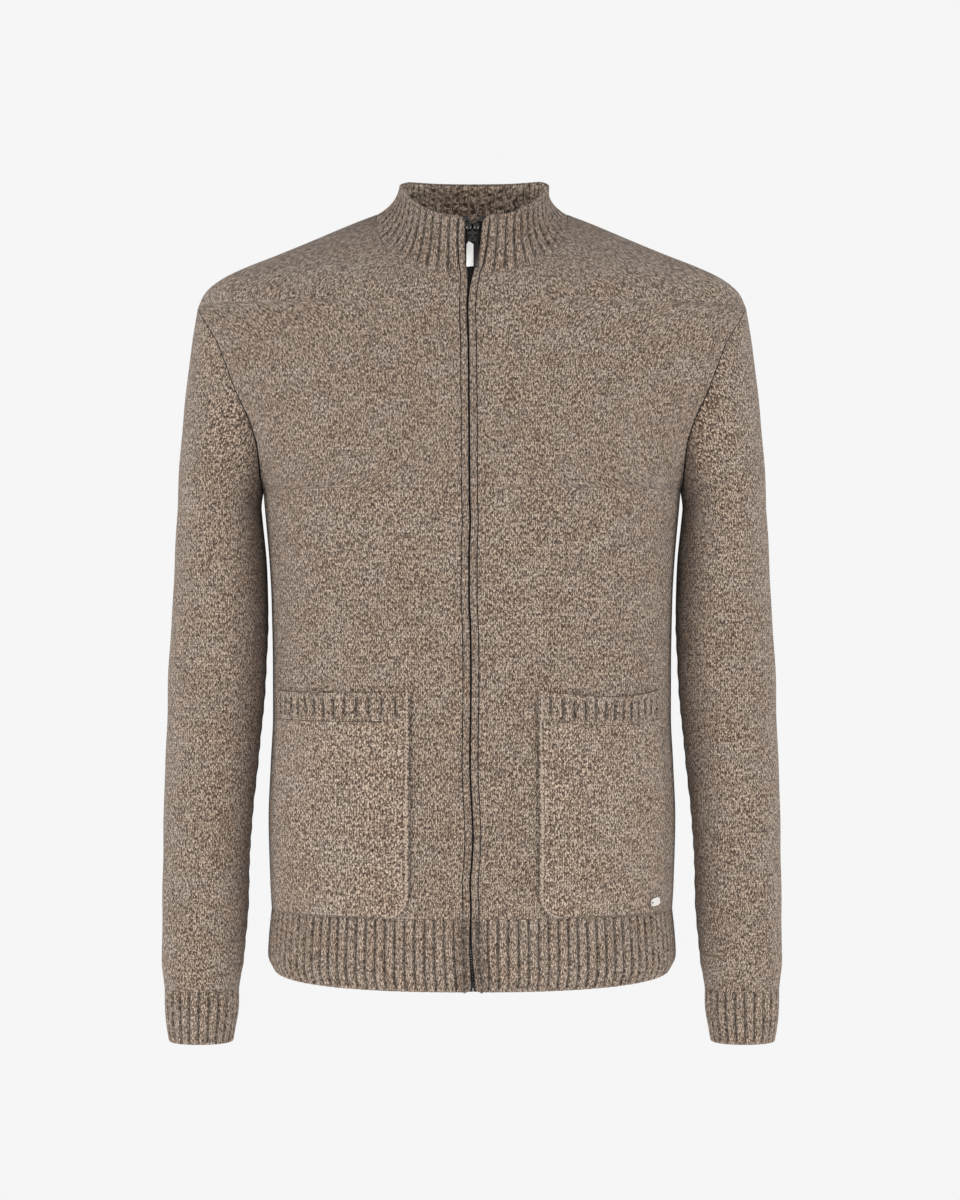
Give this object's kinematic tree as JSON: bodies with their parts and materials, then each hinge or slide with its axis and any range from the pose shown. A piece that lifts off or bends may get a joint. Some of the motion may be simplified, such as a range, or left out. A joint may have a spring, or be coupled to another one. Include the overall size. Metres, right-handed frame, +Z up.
{
  "type": "zip mock neck sweater",
  "caption": "Full-zip knitted cardigan with a ribbed mock neck, ribbed hem and cuffs and patch pockets, hollow and open in its worn form.",
  "frame": {"origin": "middle of the neck, at the height where the neck of the garment rests on the wearer's shoulders", "axes": "+Z up, +X to the wearer's left, the zipped front faces -Y"},
  "size_m": [0.5382, 0.2408, 0.7525],
  "materials": {
    "knit": "taupe melange wool stockinette, brushed",
    "rib_knit": "taupe melange wool rib",
    "zip_tape": "black woven zip tape",
    "black_metal": "black nickel plate",
    "bright_metal": "polished nickel"
  },
  "bodies": {
    "garment": {"back": "knit", "front_left": "knit", "front_right": "knit", "sleeve_left": "knit", "sleeve_right": "knit", "pocket_left": "knit", "pocket_right": "knit", "collar": "rib_knit", "hem_rib_back": "rib_knit", "hem_rib_left": "rib_knit", "hem_rib_right": "rib_knit", "cuff_left": "rib_knit", "cuff_right": "rib_knit", "front_band_left": "rib_knit", "front_band_right": "rib_knit", "pocket_rib_left": "rib_knit", "pocket_rib_right": "rib_knit", "zip_tape_left": "zip_tape", "zip_tape_right": "zip_tape", "zip_slider": "black_metal", "pocket_plate": "bright_metal"},
    "pull_tab": {"pull_tab": "bright_metal"}
  },
  "joints": [
    {"name": "pull_tab_hinge", "type": "hinge", "parent": "garment", "child": "pull_tab", "pos_m": [0.0006, -0.0761, -0.0282], "axis": [-1, 0, 0], "range_deg": [0, 160]}
  ]
}
